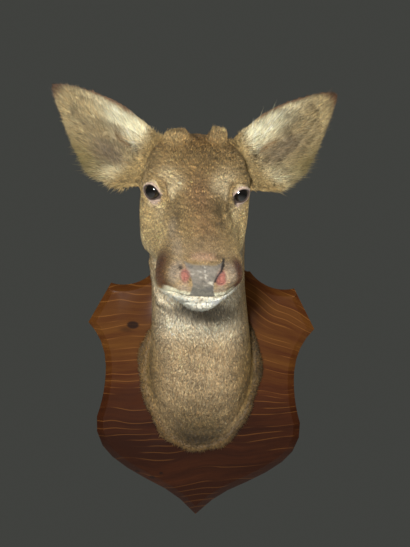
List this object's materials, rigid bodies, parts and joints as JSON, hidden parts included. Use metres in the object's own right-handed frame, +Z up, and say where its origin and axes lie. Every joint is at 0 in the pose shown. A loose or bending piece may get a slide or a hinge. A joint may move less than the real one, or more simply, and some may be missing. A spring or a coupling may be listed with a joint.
{
  "type": "red deer head and neck mount on an oak shield",
  "caption": "Wall-hung taxidermy head and neck of a young red deer with budding pedicles, ears spread, on a chamfered oak shield with a steel hanging plate.",
  "frame": {"origin": "middle of the shield's back face, on its axis of symmetry, in the plane of the wall", "axes": "+Y into the wall, out of the shield's back; the animal looks along -Y; +X is the animal's left; +Z up"},
  "size_m": [0.3721, 0.4803, 0.6022],
  "materials": {
    "oak": "quarter-sawn oak, red-brown varnish, pale ray flecks",
    "coat": "tanned hide with short speckled grey-brown winter hair",
    "chin": "tanned hide with short white hair",
    "ear": "thin tanned hide, hair short outside and long and pale inside",
    "hide": "cut edge of the hide, dry and matted",
    "nose_skin": "dried grey skin with painted pink nostrils",
    "eye": "dark polished glass eye",
    "steel": "zinc plated"
  },
  "bodies": {
    "root": {"board": "oak", "neck": "coat", "hide_hem": "hide", "head": "coat", "lower_jaw": "chin", "nose": "nose_skin", "ear_left": "ear", "ear_right": "ear", "eye_left": "eye", "eye_right": "eye", "pedicle_left": "coat", "pedicle_right": "coat", "hanger_plate": "steel", "hanger_screw_1": "steel", "hanger_screw_2": "steel", "fixing_screw_1": "steel", "fixing_screw_2": "steel", "fixing_screw_3": "steel"}
  },
  "joints": []
}
